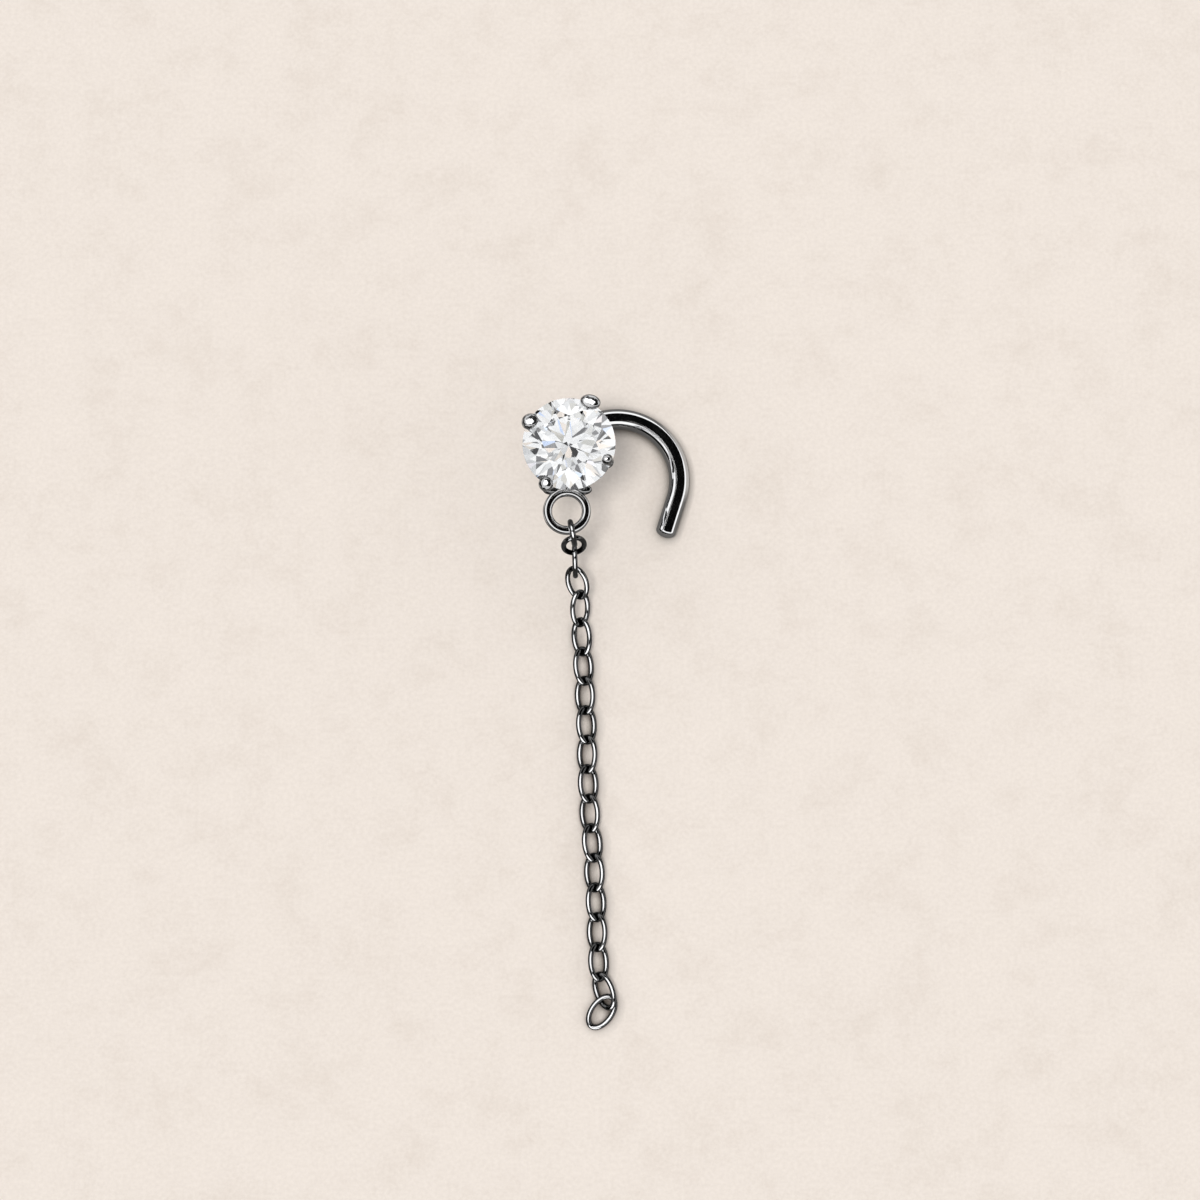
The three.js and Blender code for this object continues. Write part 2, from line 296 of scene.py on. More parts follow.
def facet_planes(spare):
    """Point and normal of every facet of a round brilliant, and the heights of its table and culet."""
    half = 180 / FACETS_ROUND
    radius = GIRDLE_RADIUS + spare
    upper = GIRDLE_HEIGHT + GIRDLE_THICKNESS / 2 + spare / 2
    lower = GIRDLE_HEIGHT - GIRDLE_THICKNESS / 2 - spare / 2
    table_radius = GIRDLE_RADIUS * TABLE_SHARE + spare
    star_radius = (table_radius * math.cos(math.radians(half)) + radius) / 2
    low_radius = radius * (1 - LOWER_FACET_SHARE)
    crown = math.tan(math.radians(CROWN_ANGLE))
    pavilion = math.tan(math.radians(PAVILION_ANGLE))
    table_height = upper + (radius - table_radius) * crown
    star_height = upper + (radius - star_radius * math.cos(math.radians(half))) * crown
    low_height = lower - (radius - low_radius * math.cos(math.radians(half))) * pavilion
    culet = np.array([0, 0, lower - radius * pavilion])

    triples = [[polar(table_radius, a, table_height) for a in (0, 90, 180)]]
    for i in range(FACETS_ROUND):
        here, middle, after = (2 * i * half, (2 * i + 1) * half, (2 * i + 2) * half)
        table_here, table_next = (polar(table_radius, a, table_height) for a in (here, after))
        star = polar(star_radius, middle, star_height)
        star_before = polar(star_radius, middle - 2 * half, star_height)
        low = polar(low_radius, middle, low_height)
        low_before = polar(low_radius, middle - 2 * half, low_height)
        top = [polar(radius, a, upper) for a in (here, middle, after)]
        bottom = [polar(radius, a, lower) for a in (here, middle, after)]
        triples.append([table_here, star, table_next])
        triples.append([star_before, top[0], star])
        triples.append([low_before, bottom[0], culet])
        for side in (0, 1):
            triples.append([star, top[side], top[side + 1]])
            triples.append([low, bottom[side + 1], bottom[side]])
    centre = np.array([0, 0, GIRDLE_HEIGHT])
    planes = []
    for a, b, c in triples:
        normal = np.cross(b - a, c - a)
        normal = normal / np.linalg.norm(normal)
        if normal.dot(a - centre) < 0:
            normal = -normal
        planes.append(((a + b + c) / 3, normal))
    return planes, table_height, culet[2]


def brilliant(name, spare, error):
    """A round brilliant, cut from a round blank by the planes of its facets."""
    planes, table_height, culet_height = facet_planes(spare)
    low, high = culet_height - BLANK_SPARE, table_height + BLANK_SPARE
    blank = [(0, low), (GIRDLE_RADIUS + spare, low), (GIRDLE_RADIUS + spare, high), (0, high)]
    piece = new_piece(name, *lathe(blank, GIRDLE_SIDES), smooth=False)
    chance = np.random.default_rng(FACET_SEED)
    cut = bmesh.new()
    cut.from_mesh(piece.data)
    for point, normal in planes:
        tilted = normal + chance.normal(0, math.radians(error), 3)
        everything = cut.verts[:] + cut.edges[:] + cut.faces[:]
        plane = {"plane_co": Vector(point), "plane_no": Vector(tilted)}
        done = bmesh.ops.bisect_plane(
            cut, geom=everything, dist=CUT_ERROR, clear_outer=True, **plane)
        edges = [e for e in done["geom_cut"] if isinstance(e, bmesh.types.BMEdge)]
        bmesh.ops.edgeloop_fill(cut, edges=edges)
    bmesh.ops.remove_doubles(cut, verts=cut.verts[:], dist=WELD)
    bmesh.ops.dissolve_degenerate(cut, edges=cut.edges[:], dist=WELD)
    bmesh.ops.recalc_face_normals(cut, faces=cut.faces[:])
    for vert in cut.verts:
        vert.co = Vector(place(vert.co))
    cut.to_mesh(piece.data)
    cut.free()
    return piece


# ---- Setting ----

def back_plate():
    top = PLATE_BACK + PLATE_THICKNESS
    flat_radius = PLATE_RADIUS - PLATE_BEVEL
    profile = [
        (0, PLATE_BACK),
        (flat_radius, PLATE_BACK),
        (PLATE_RADIUS, PLATE_BACK + PLATE_BEVEL),
        (PLATE_RADIUS, top - PLATE_BEVEL),
        (flat_radius, top),
        (0, top),
    ]
    return lathe(profile, PLATE_SIDES)


def rail():
    path = [polar(RAIL_RADIUS, 360 * k / RAIL_STEPS, RAIL_HEIGHT) for k in range(RAIL_STEPS)]
    return sweep(path, [RAIL_WIRE / 2] * RAIL_STEPS, RAIL_SIDES, closed=True)


def claw(angle, wire, shoulder_radius, tip_radius, bead_length, bead_width, turn):
    """The wire and the rounded end of a claw, which leans out and closes over the stone's crown."""
    foot = polar(CLAW_FOOT, angle, PLATE_BACK + PLATE_THICKNESS / 2)
    shoulder = polar(shoulder_radius, angle, CLAW_SHOULDER_HEIGHT)
    tip = polar(tip_radius, angle, CLAW_TIP_HEIGHT)
    path = [foot + (shoulder - foot) * t for t in np.linspace(0, CLAW_STRAIGHT, CLAW_STEPS)]
    bend_start = path[-1]
    for t in np.linspace(0, 1, CLAW_BEND_STEPS)[1:]:
        path.append((1 - t) ** 2 * bend_start + 2 * t * (1 - t) * shoulder + t ** 2 * tip)
    half_sizes = (bead_length, bead_width, BEAD_HEIGHT)
    bead_verts, bead_faces = lump((0, 0, 0), half_sizes, BEAD_SIDES, BEAD_RINGS)
    turned = Matrix.Rotation(math.radians(turn), 3, "Z")
    bead_verts = [tip + np.array(turned @ Vector(v)) for v in bead_verts]
    return [sweep(path, [wire / 2] * len(path), CLAW_SIDES), (bead_verts, bead_faces)]


def solder_lumps():
    verts, faces = join_parts([lump((x, y, RING_HEIGHT), SOLDER) for x, y in SOLDER_PLACES])
    return new_piece("solder_lumps", place(verts), faces)


def setting():
    """The plate, rail and claws as one skin, with the stone's seat cut out of it."""
    parts = [back_plate(), rail()]
    for row in CLAWS:
        parts += claw(*row)
    piece = new_piece("setting", *join_parts(parts))
    apply_modifier(piece, "REMESH", mode="VOXEL", voxel_size=SETTING_GRAIN)
    apply_modifier(piece, "SMOOTH", **SETTING_SMOOTHING)
    seat = brilliant("seat_cutter", SEAT_GAP, 0.0)
    for vert in piece.data.vertices:
        vert.co = Vector(place(vert.co))
    apply_modifier(piece, "BOOLEAN", operation="DIFFERENCE", object=seat, solver="EXACT")
    bpy.data.objects.remove(seat)
    piece.data.polygons.foreach_set("use_smooth", [True] * len(piece.data.polygons))
    return piece


# ---- Post and curl ----

def post_path():
    """Down from the plate, round the bend, and clockwise along a tighter arc, the curl and the tail."""
    z = POST_WIRE / 2
    up, x, y = np.eye(3)[2], np.eye(3)[0], np.eye(3)[1]
    curl_centre = np.array([*CURL_CENTRE, z])
    lead = BEND_RADIUS - CURL_CENTRE[1]
    reach = CURL_RADIUS ** 2 - CURL_CENTRE[0] ** 2 - lead ** 2
    lead_radius = reach / (2 * (CURL_RADIUS - CURL_CENTRE[0]))
    lead_centre = np.array([lead_radius, BEND_RADIUS, z])
    meeting = math.atan2(lead, lead_radius - CURL_CENTRE[0])
    out = np.array([math.cos(meeting), math.sin(meeting), 0])
    clockwise = np.array([out[1], -out[0], 0])
    turn = meeting - math.radians(CURL_END)
    foot = np.array([0, 0, z + BEND_RADIUS])
    top = np.array([0, 0, PLATE_BACK + PLATE_THICKNESS / 2])
    tail_start = curl_centre + polar(CURL_RADIUS, CURL_END, 0)
    tail_end = tail_start + polar(TAIL - DOME, CURL_END - 90, 0)
    straight = [top + (foot - top) * t for t in np.linspace(0, 1, STRAIGHT_STEPS)]
    bend_centre = np.array([0, BEND_RADIUS, z + BEND_RADIUS])
    bend = arc(bend_centre, BEND_RADIUS, -y, -up, math.pi / 2, BEND_STEPS)
    lead_in = arc(lead_centre, lead_radius, -x, y, math.pi - meeting, LEAD_STEPS)
    curl = arc(curl_centre, CURL_RADIUS, out, clockwise, turn, CURL_STEPS)
    tail = [tail_start + (tail_end - tail_start) * t for t in np.linspace(0, 1, TAIL_STEPS)]
    return [*straight, *bend[1:], *lead_in[1:], *curl[1:], *tail[1:]]


def post():
    path = post_path()
    radii = [POST_WIRE / 2] * len(path)
    path, radii = round_end(path, radii, POST_WIRE / 2, DOME)
    verts, faces = sweep(path, radii, POST_SIDES)
    return new_piece("post_and_curl", place(verts), faces)


def chain_ring():
    centre = np.array([*RING_CENTRE, RING_HEIGHT])
    path = [centre + polar(RING_RADIUS, 360 * k / RING_STEPS, 0) for k in range(RING_STEPS)]
    verts, faces = sweep(path, [RING_WIRE / 2] * RING_STEPS, RING_SIDES, closed=True)
    return new_piece("chain_ring", place(verts), faces)


# ---- Chain ----

LINK_HALF_LENGTH = (LINK_LENGTH - SOLID_WIRE) / 2
LINK_HALF_WIDTH = (LINK_WIDTH - SOLID_WIRE) / 2


def link_axes(heading, slope, roll):
    """The directions of a link's length and width."""
    h, s, r = (math.radians(v) for v in (heading, slope, roll))
    long = np.array([math.sin(h) * math.cos(s), -math.cos(h) * math.cos(s), -math.sin(s)])
    right = np.array([math.cos(h), math.sin(h), 0])
    above = np.cross(long, right)
    wide = right * math.cos(r) + above * math.sin(r)
    return long, wide


def link_places():
    """Centre, length and width direction of each link, each reached from the one before."""
    lying = [(h, 0, LYING_ROLL * (-1) ** (i + 1), 0.0) for i, h in enumerate(LYING_HEADINGS)]
    rows = [*FALLING_LINKS, *lying, LAST_LINK]
    centre = np.array([*RING_CENTRE, 0]) + polar(RING_RADIUS, HOOK - 90, RING_HEIGHT)
    reach = LINK_HALF_LENGTH - (RING_WIRE + SOLID_WIRE) / 2 - LINK_GAP
    places, last = [], None
    for i, (heading, slope, roll, slack) in enumerate(rows):
        long, wide = link_axes(heading, slope, roll)
        if last is not None:
            reach = (LINK_LENGTH - 2 * SOLID_WIRE + LINK_MEETS - slack) / 2
            centre = centre + last * reach
        centre = centre + long * reach
        if i >= len(FALLING_LINKS):
            drop = math.hypot(LINK_HALF_LENGTH * long[2], LINK_HALF_WIDTH * wide[2])
            centre[2] = drop + LINK_WIRE / 2
        places.append((centre.copy(), long, wide))
        last = long
    return places


def chain_link(name, centre, long, wide):
    path = []
    for t in np.linspace(0, 2 * math.pi, LINK_STEPS, endpoint=False):
        along = long * LINK_HALF_LENGTH * math.cos(t)
        path.append(centre + along + wide * LINK_HALF_WIDTH * math.sin(t))
    verts, faces = sweep(path, [LINK_WIRE / 2] * LINK_STEPS, LINK_SIDES, closed=True)
    return new_piece(name, place(verts), faces)


def chain():
    links = []
    for i, (centre, long, wide) in enumerate(link_places()):
        links.append(chain_link(f"chain_link_{i + 1:02d}", centre, long, wide))
    return links


# ---- Materials ----

# Noise scales, per metre.
STEEL_CLOUDS = 900.0
POLISH_WAVES = 2600.0
DENTS = 2300.0
STONE_WIPES = 700.0
PAPER_FIBRES = 5200.0
PAPER_MOTTLE = 300.0

OCCLUSION_SAMPLES = 8
SHADE_REACH = 1.2  # how near surfaces have to be for the painted shade to darken the metal
SHADE_RANGE = (0.45, 0.85)  # of its openness, from full painted shade to none
POLISH_DEPTH = 0.003  # of the slight waves that polishing leaves
DENT_DEPTH = 0.09  # of the tool's dents on the ends of the claws
DENTS_START = 8.45  # the height from which the dents grow
DENTS_GROWTH = 0.2  # the height over which they grow to their full depth
DENTS_BELOW = 0.04  # what is left of them lower down
STONE_INDEX = 2.16  # of refraction, as cubic zirconia has
FIBRE_DEPTH = 0.012
FIBRE_STRENGTH = 0.35

PAPER_GRAIN = [(0.3, (0.825, 0.765, 0.715)), (0.7, (0.885, 0.825, 0.775))]
PAPER_CLOUDS = [(0.25, (0.89, 0.875, 0.86)), (0.5, (0.975, 0.975, 0.975)), (0.75, (1.0, 1.0, 1.0))]

# Painted shade on the paper: the colour it is painted towards, how near the wires have to be, the range
# of openness over which it is painted, and which way the light comes from that the painted shade stands
# in for.
PAINTED_SHADE_BESIDE_WIRES = ((0.62, 0.58, 0.545), 0.5 * MM, (0.60, 1.0), (-0.5, 0.0, 0.87))
PAINTED_SHADE_INSIDE_LINKS = ((0.13, 0.11, 0.095), 1.0 * MM, (0.36, 0.66))

# A painted reflection on the paper, which only the metal sees: dark, with lighter sectors in it, and
# the middle and the half width of each lighter sector's angle from +X, round the stone's axis.
REFLECTION_DARK, REFLECTION_LIGHT = (0.17, 0.167, 0.163), (0.55, 0.535, 0.52)
REFLECTION_LIGHT_SECTORS = [(-162, 12), (10, 20), (108, 12), (162, 12)]
SECTOR_EDGE = 4  # half the width of the soft edge between two sectors
LIGHT_SECTORS_END = (5.3, 6.2)  # the distances between which the lighter sectors fade to the dark


class Material:
    """A material with its Principled shader and a few shorthands for its node tree."""

    def __init__(self, name):
        self.data = bpy.data.materials.new(name)
        self.data.use_nodes = True
        self.tree = self.data.node_tree
        self.shader = self.tree.nodes["Principled BSDF"]
        self.coords = self.tree.nodes.new("ShaderNodeTexCoord").outputs["Object"]

    def link(self, output, target):
        self.tree.links.new(output, target)

    def noise(self, scale, detail=2.0, roughness=0.5):
        """Noise from 0 to 1; scale is per metre."""
        node = self.tree.nodes.new("ShaderNodeTexNoise")
        node.inputs["Scale"].default_value = scale
        node.inputs["Detail"].default_value = detail
        node.inputs["Roughness"].default_value = roughness
        self.link(self.coords, node.inputs["Vector"])
        return node.outputs["Fac"]

    def ramp(self, value, stops):
        node = self.tree.nodes.new("ShaderNodeValToRGB")
        fill_ramp(node.color_ramp, stops)
        self.link(value, node.inputs["Fac"])
        return node.outputs["Color"]

    def between(self, value, low, high, start=(0.3, 0.7)):
        """From low to high, as the value goes through the range start."""
        node = self.tree.nodes.new("ShaderNodeMapRange")
        node.inputs["From Min"].default_value = start[0]
        node.inputs["From Max"].default_value = start[1]
        node.inputs["To Min"].default_value = low
        node.inputs["To Max"].default_value = high
        self.link(value, node.inputs["Value"])
        return node.outputs["Result"]

    def blend(self, share, first, second):
        node = self.tree.nodes.new("ShaderNodeMix")
        node.data_type = "RGBA"
        self.link(share, node.inputs["Factor"])
        for value, socket in ((first, "A"), (second, "B")):
            if isinstance(value, tuple):
                node.inputs[socket].default_value = (*value, 1)
            else:
                self.link(value, node.inputs[socket])
        return node.outputs["Result"]

    def paint_occlusion_shade(self, colour, dark, distance, start, lean=None):
        """The colour with painted shade: it goes dark where surfaces within the distance close it in.

        It does so over the range start of its openness, which counts towards lean if that is given."""
        node = self.tree.nodes.new("ShaderNodeAmbientOcclusion")
        node.samples = OCCLUSION_SAMPLES
        node.inputs["Distance"].default_value = distance
        if lean:
            towards = self.tree.nodes.new("ShaderNodeCombineXYZ")
            for axis, value in zip("XYZ", Vector(lean).normalized()):
                towards.inputs[axis].default_value = value
            self.link(towards.outputs["Vector"], node.inputs["Normal"])
        return self.blend(self.between(node.outputs["AO"], 0.0, 1.0, start), dark, colour)

    def height(self):
        """The height above the paper, in metres."""
        split = self.tree.nodes.new("ShaderNodeSeparateXYZ")
        self.link(self.coords, split.inputs["Vector"])
        return split.outputs["Z"]

    def bump(self, value, distance, strength=1.0):
        node = self.tree.nodes.new("ShaderNodeBump")
        node.inputs["Distance"].default_value = distance
        if isinstance(strength, float):
            node.inputs["Strength"].default_value = strength
        else:
            self.link(strength, node.inputs["Strength"])
        self.link(value, node.inputs["Height"])
        self.link(node.outputs["Normal"], self.shader.inputs["Normal"])


def fill_ramp(ramp, stops):
    while len(ramp.elements) < len(stops):
        ramp.elements.new(0.5)
    for element, (at, colour) in zip(ramp.elements, stops):
        element.position = at
        element.color = (*colour, 1)


def steel(name, dull, bright, rough=(0.03, 0.09), shade_grey=None, dented=False):
    """Polished steel, which goes from dull to bright in clouds, as its roughness does from low to high.

    Shade grey is the grey of the painted shade in its recesses and on its undersides near the paper.
    Dented steel keeps the dents of the tool that pressed it, high up where the claws end."""
    metal = Material(name)
    metal.shader.inputs["Metallic"].default_value = 1.0
    clouds = metal.noise(STEEL_CLOUDS, 3.0)
    greys = [(0.3, (dull, dull, dull * 1.01)), (0.7, (bright, bright, bright * 1.005))]
    shine = metal.ramp(clouds, greys)
    # Painted shade: the grey goes dark in recesses and where the metal faces the paper close by.
    if shade_grey is not None:
        shine = metal.paint_occlusion_shade(shine, (shade_grey, shade_grey, shade_grey), SHADE_REACH * MM, SHADE_RANGE)
    metal.link(shine, metal.shader.inputs["Base Color"])
    metal.link(metal.between(clouds, *rough), metal.shader.inputs["Roughness"])
    if dented:
        heights = (DENTS_START * MM, (DENTS_START + DENTS_GROWTH) * MM)
        pressed = metal.between(metal.height(), DENTS_BELOW, 1.0, heights)
        metal.bump(metal.noise(DENTS, 2.0), DENT_DEPTH * MM, pressed)
    else:
        metal.bump(metal.noise(POLISH_WAVES, 2.0), POLISH_DEPTH * MM)
    return metal.data


def clear_stone():
    stone = Material("clear_stone")
    wipe = stone.noise(STONE_WIPES, 2.0)
    tint = stone.ramp(wipe, [(0.3, (0.985, 0.99, 1.0)), (0.7, (1.0, 1.0, 0.995))])
    stone.link(tint, stone.shader.inputs["Base Color"])
    stone.link(stone.between(wipe, 0.0, 0.012), stone.shader.inputs["Roughness"])
    stone.shader.inputs["Transmission Weight"].default_value = 1.0
    stone.shader.inputs["IOR"].default_value = STONE_INDEX
    return stone.data


def paper():
    sheet = Material("paper")
    sheet.shader.inputs["Roughness"].default_value = 0.9
    sheet.shader.inputs["Specular IOR Level"].default_value = 0.1
    fibres = sheet.noise(PAPER_FIBRES, 3.0)
    grain = sheet.ramp(fibres, PAPER_GRAIN)
    clouded = sheet.ramp(sheet.noise(PAPER_MOTTLE, 9.0, 0.78), PAPER_CLOUDS)
    tint = sheet.tree.nodes.new("ShaderNodeMix")
    tint.data_type = "RGBA"
    tint.blend_type = "MULTIPLY"
    tint.inputs["Factor"].default_value = 1.0
    sheet.link(grain, tint.inputs["A"])
    sheet.link(clouded, tint.inputs["B"])
    # Painted shade: darker beside the wires, as if light from -X were lost there, and darker still
    # inside the links, as if all light were.
    beside = sheet.paint_occlusion_shade(tint.outputs["Result"], *PAINTED_SHADE_BESIDE_WIRES)
    shaded = sheet.paint_occlusion_shade(beside, *PAINTED_SHADE_INSIDE_LINKS)
    # The metal sees a painted reflection in place of the shaded paper.
    path = sheet.tree.nodes.new("ShaderNodeLightPath")
    seen = sheet.blend(path.outputs["Is Glossy Ray"], shaded, painted_reflection(sheet))
    sheet.link(seen, sheet.shader.inputs["Base Color"])
    sheet.bump(fibres, FIBRE_DEPTH * MM, FIBRE_STRENGTH)
    return sheet.data


def painted_reflection(sheet):
    """A painted reflection: what the metal sees of the paper, dark with lighter sectors in it."""
    shift = sheet.tree.nodes.new("ShaderNodeMapping")
    shift.inputs["Location"].default_value = (-AXIS.x, -AXIS.y, 0)
    sheet.link(sheet.coords, shift.inputs["Vector"])
    around = sheet.tree.nodes.new("ShaderNodeTexGradient")
    around.gradient_type = "RADIAL"
    sheet.link(shift.outputs["Vector"], around.inputs["Vector"])
    stops = []
    for middle, half in REFLECTION_LIGHT_SECTORS:
        start, end = middle - half, middle + half
        edges = (start - SECTOR_EDGE, start + SECTOR_EDGE, end - SECTOR_EDGE, end + SECTOR_EDGE)
        for angle, colour in zip(edges, (REFLECTION_DARK, REFLECTION_LIGHT, REFLECTION_LIGHT, REFLECTION_DARK)):
            stops.append((angle / 360 + 0.5, colour))
    distance = sheet.tree.nodes.new("ShaderNodeVectorMath")
    distance.operation = "LENGTH"
    sheet.link(shift.outputs["Vector"], distance.inputs[0])
    near, far = LIGHT_SECTORS_END
    outside = sheet.between(distance.outputs["Value"], 0.0, 1.0, (near * MM, far * MM))
    return sheet.blend(outside, REFLECTION_DARK, sheet.ramp(around.outputs["Fac"], stops))


# ---- Stage ----

FLOOR = (-6.0, 3.0, -3.0, 6.0)  # west, east, south and north edges, in metres

# The studio, in degrees from the zenith towards +X and +Y: white panels all round, a dark camera and
# its operator overhead on one side, and a dark room behind the panels.
DARK_MIDDLE, DARK_HALF, DARK_ROUNDING = (21.0, 13.0), (47.0, 50.0), 30.0
PANELS_MIDDLE, PANELS_RADIUS = (14.0, 10.0), 79.0
DARK_EDGE, PANELS_EDGE = 1.0, 3.0  # half the width of their soft edges

# How bright the studio is for the rays of each kind.
METAL_STRENGTH, STONE_STRENGTH, PAPER_STRENGTH, BACKDROP_STRENGTH = 1.25, 1.28, 0.71, 0.9

# What the stone sees through its facets: white panels with darker and tinted places between.
STONE_NOISE = {"scale": 3.4, "detail": 3.0, "shift": (2.5, 4.75, 3.75)}
STONE_TINTS = [
    (0.34, (0.02, 0.02, 0.02)),
    (0.42, (0.24, 0.24, 0.25)),
    (0.47, (0.66, 0.67, 0.68)),
    (0.52, (0.92, 0.93, 0.94)),
    (0.58, (1.0, 1.0, 1.0)),
    (0.60, (0.50, 0.50, 0.47)),
    (0.63, (1.0, 0.90, 0.82)),
    (0.67, (0.66, 0.77, 1.0)),
]
HORIZON = (-0.35, 0.15)  # the heights between which the ground fades into the panels
GROUND = (0.42, 0.42, 0.425)

# Direction, width in degrees, strength and colour of each light.
KEY = ((-0.12, -0.13, 1.0), 11, 1.25, (1.0, 0.96, 0.91))
HIGHLIGHT = ((-0.14, 0.05, 1.0), 60, 8.2, (1.0, 1.0, 1.0))
FRONT = ((-0.1, -1.0, 0.45), 56, 6.6, (1.0, 1.0, 1.0))
CLAW_HIGHLIGHT = ((-0.10, 0.12, 1.0), 58, 3.2, (1.0, 1.0, 1.0))

CAMERA_LENS, CAMERA_SENSOR = 120.0, 36.0
CAMERA_CLIP = (0.001, 10.0)
CAMERA_ELEVATION = 82
CAMERA_DISTANCE = 201.04
CAMERA_TARGET = (1.5, -6.427, 0)


def floor():
    west, east, south, north = FLOOR
    verts = [(west, south, 0), (east, south, 0), (east, north, 0), (west, north, 0)]
    piece = new_piece("paper_floor", verts, [(0, 1, 2, 3)], smooth=False)
    piece.data.materials.append(paper())


class World:
    """A world with a few shorthands for its node tree."""

    def __init__(self, name):
        bpy.context.scene.world = bpy.data.worlds.new(name)
        bpy.context.scene.world.use_nodes = True
        self.tree = bpy.context.scene.world.node_tree
        self.tree.nodes.clear()
        self.direction = self.tree.nodes.new("ShaderNodeTexCoord").outputs["Generated"]

    def math(self, operation, first, second):
        node = self.tree.nodes.new("ShaderNodeMath")
        node.operation = operation
        for socket, value in zip(node.inputs, (first, second)):
            if isinstance(value, float):
                socket.default_value = value
            else:
                self.tree.links.new(value, socket)
        return node.outputs["Value"]

    def parts(self):
        """The X, Y and Z of the ray's direction."""
        split = self.tree.nodes.new("ShaderNodeSeparateXYZ")
        self.tree.links.new(self.direction, split.inputs["Vector"])
        return split.outputs

    def angles(self):
        """The ray's angles from the zenith towards +X and +Y, in radians."""
        parts = self.parts()
        angle = self.math("ARCCOSINE", parts["Z"], 0.0)
        scale = self.math("DIVIDE", angle, self.math("SINE", angle, 0.0))
        return [self.math("MULTIPLY", parts[axis], scale) for axis in "XY"]

    def beyond(self, values, middle, inner):
        """How far the angles lie outside a box of the given half sides, in radians."""
        squares = []
        for value, centre, half in zip(values, middle, inner):
            off = self.math("ABSOLUTE", self.math("SUBTRACT", value, math.radians(centre)), 0.0)
            out = self.math("MAXIMUM", self.math("SUBTRACT", off, math.radians(half)), 0.0)
            squares.append(self.math("MULTIPLY", out, out))
        return self.math("SQRT", self.math("ADD", *squares), 0.0)

    def step(self, value, low, high):
        """0 up to low and 1 from high on, or the other way round if low is the higher one."""
        node = self.tree.nodes.new("ShaderNodeMapRange")
        node.interpolation_type = "SMOOTHSTEP"
        node.inputs["From Min"].default_value = low
        node.inputs["From Max"].default_value = high
        self.tree.links.new(value, node.inputs["Value"])
        return node.outputs["Result"]

    def noise(self, scale, detail, shift):
        moved = self.tree.nodes.new("ShaderNodeMapping")
        moved.inputs["Location"].default_value = shift
        self.tree.links.new(self.direction, moved.inputs["Vector"])
        node = self.tree.nodes.new("ShaderNodeTexNoise")
        node.inputs["Scale"].default_value = scale
        node.inputs["Detail"].default_value = detail
        self.tree.links.new(moved.outputs["Vector"], node.inputs["Vector"])
        return node.outputs["Fac"]

    def ramp(self, value, stops):
        node = self.tree.nodes.new("ShaderNodeValToRGB")
        fill_ramp(node.color_ramp, stops)
        self.tree.links.new(value, node.inputs["Fac"])
        return node.outputs["Color"]

    def background(self, colour, strength):
        node = self.tree.nodes.new("ShaderNodeBackground")
        if isinstance(colour, tuple):
            node.inputs["Color"].default_value = (*colour, 1)
        else:
            self.tree.links.new(colour, node.inputs["Color"])
        node.inputs["Strength"].default_value = strength
        return node.outputs["Background"]

    def mix(self, share, first, second):
        node = self.tree.nodes.new("ShaderNodeMixShader")
        self.tree.links.new(share, node.inputs["Fac"])
        self.tree.links.new(first, node.inputs[1])
        self.tree.links.new(second, node.inputs[2])
        return node.outputs["Shader"]


def world():
    studio = World("studio")
    angles = studio.angles()
    core = [half - DARK_ROUNDING for half in DARK_HALF]
    from_dark = studio.beyond(angles, DARK_MIDDLE, core)
    dark_edge = [math.radians(DARK_ROUNDING + side * DARK_EDGE) for side in (-1, 1)]
    beside_dark = studio.step(from_dark, *dark_edge)
    from_middle = studio.beyond(angles, PANELS_MIDDLE, (0.0, 0.0))
    panels_edge = [math.radians(PANELS_RADIUS + side * PANELS_EDGE) for side in (1, -1)]
    on_panels = studio.step(from_middle, *panels_edge)
    panels = studio.math("MULTIPLY", beside_dark, on_panels)
    black_and_white = studio.ramp(panels, [(0.0, (0.002, 0.002, 0.002)), (1.0, (1.0, 1.0, 1.0))])
    metal_sees = studio.background(black_and_white, METAL_STRENGTH)

    tints = studio.ramp(studio.noise(**STONE_NOISE), STONE_TINTS)
    panels_by_stone = studio.background(tints, STONE_STRENGTH)
    over_horizon = studio.step(studio.parts()["Z"], *HORIZON)
    stone_sees = studio.mix(over_horizon, studio.background(GROUND, 1.0), panels_by_stone)

    # What lights the paper: the same panels, with no camera before them.
    warm = studio.ramp(on_panels, [(0.0, (0.03, 0.03, 0.03)), (1.0, (1.0, 0.985, 0.97))])
    paper_sees = studio.background(warm, PAPER_STRENGTH)
    dark = studio.background((0.04, 0.04, 0.04), 1.0)
    backdrop = studio.background((0.93, 0.92, 0.91), BACKDROP_STRENGTH)

    path = studio.tree.nodes.new("ShaderNodeLightPath")
    after_paper = studio.math("GREATER_THAN", path.outputs["Diffuse Depth"], 0.5)
    by_metal = studio.mix(after_paper, metal_sees, dark)
    seen = studio.mix(path.outputs["Is Camera Ray"], paper_sees, backdrop)
    seen = studio.mix(path.outputs["Is Glossy Ray"], seen, by_metal)
    seen = studio.mix(path.outputs["Is Transmission Ray"], seen, stone_sees)
    output = studio.tree.nodes.new("ShaderNodeOutputWorld")
    studio.tree.links.new(seen, output.inputs["Surface"])


def lamp(name, direction, angle, energy, colour):
    data = bpy.data.lights.new(name, "SUN")
    data.energy = energy
    data.angle = math.radians(angle)
    data.color = colour
    piece = bpy.data.objects.new(name, data)
    piece.rotation_euler = Vector(direction).to_track_quat("Z", "Y").to_euler()
    bpy.context.scene.collection.objects.link(piece)
    return piece


def shine_on(light, pieces):
    """Keeps a light to some pieces, past everything else."""
    for name in ("receiver_collection", "blocker_collection"):
        group = bpy.data.collections.new(f"{light.name}_{name}")
        for piece in pieces:
            group.objects.link(piece)
        setattr(light.light_linking, name, group)


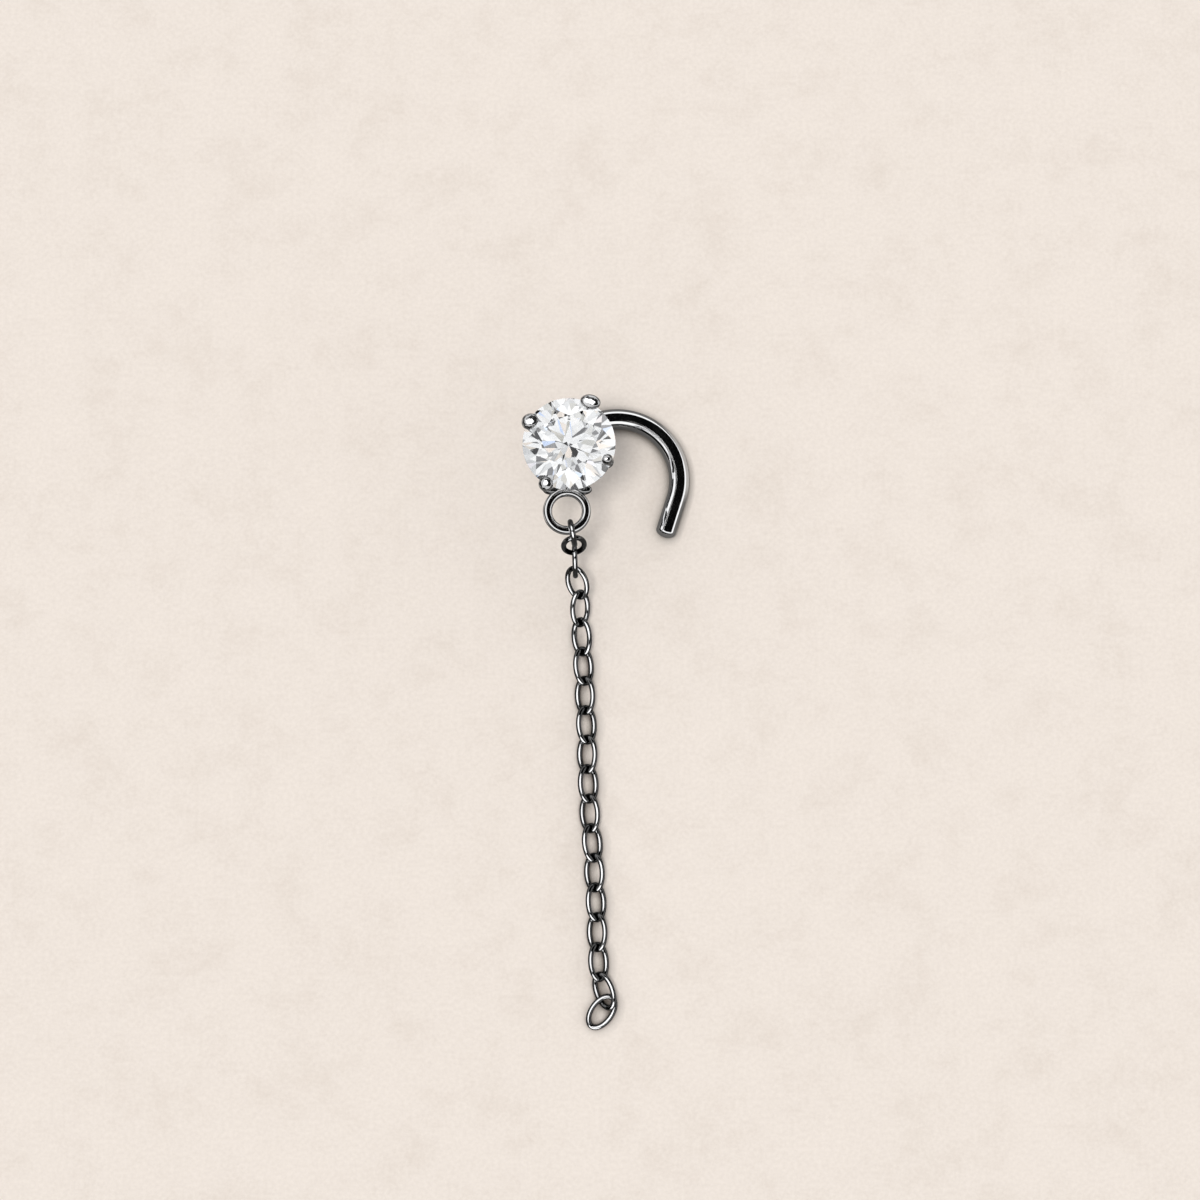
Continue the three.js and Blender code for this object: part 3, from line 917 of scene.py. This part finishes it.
def lights(claws, links):
    """A soft key light for the paper, and wide highlights on the chain and the claws."""
    key = lamp("key", *KEY)
    key.visible_glossy = False
    key.visible_transmission = False
    shine_on(lamp("highlight", *HIGHLIGHT), links)
    shine_on(lamp("front", *FRONT), links)
    shine_on(lamp("claw_highlight", *CLAW_HIGHLIGHT), claws)


def camera():
    data = bpy.data.cameras.new("camera")
    data.lens = CAMERA_LENS
    data.sensor_width = CAMERA_SENSOR
    data.clip_start, data.clip_end = CAMERA_CLIP
    cam = bpy.data.objects.new("camera", data)
    elevation = math.radians(CAMERA_ELEVATION)
    back = Vector((0, -math.cos(elevation), math.sin(elevation)))
    target = Vector(place(CAMERA_TARGET))
    cam.location = target + back * CAMERA_DISTANCE * MM
    cam.rotation_euler = back.to_track_quat("Z", "Y").to_euler()
    bpy.context.scene.collection.objects.link(cam)
    bpy.context.scene.camera = cam


# ---- The earring ----

def dress():
    """Makes every piece, gives it its material and hangs it on the root body; returns the pieces that
    have highlights of their own.
    """
    clear = clear_stone()
    # Painted light and shade: one steel in lit and shaded copies, its grey set by how light falls on
    # each piece, lightest on the post, darker on the ring and the setting, and much darker on the
    # chain, whose highlights come from the lamps kept to it.
    post_steel = steel("post_steel", dull=0.76, bright=0.84)
    setting_steel = steel("setting_steel", dull=0.40, bright=0.56, rough=(0.13, 0.22), dented=True)
    ring_steel = steel("ring_steel", dull=0.62, bright=0.72)
    solder_steel = steel("solder_steel", dull=0.20, bright=0.30, shade_grey=0.03)
    chain_steel = steel("chain_steel", dull=0.10, bright=0.14, shade_grey=0.02)
    stone = brilliant("stone_brilliant", 0.0, FACET_ERROR)
    stone.data.materials.append(clear)
    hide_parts("stone")
    head = setting()
    head.visible_glossy = False  # or the post below would mirror it
    metal = [
        (head, setting_steel),
        (post(), post_steel),
        (chain_ring(), ring_steel),
        (solder_lumps(), solder_steel),
    ]
    for piece, _ in metal:
        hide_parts("stud_body")
    links = chain()
    first = 0
    for end in STRETCH_ENDS:
        for piece in links[first:end]:
            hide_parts(f"chain_links_{first + 1:02d}_{end:02d}")
        first = end
    metal += [(piece, chain_steel) for piece in links]
    for piece, material in metal:
        piece.data.materials.clear()
        piece.data.materials.append(material)
    for piece in [stone, *[piece for piece, _ in metal]]:
        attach(piece, "root")
    return [head], links


camera()
floor()
world()
claws, links = dress()
lights(claws, links)
bpy.context.scene.view_settings.view_transform = "Standard"
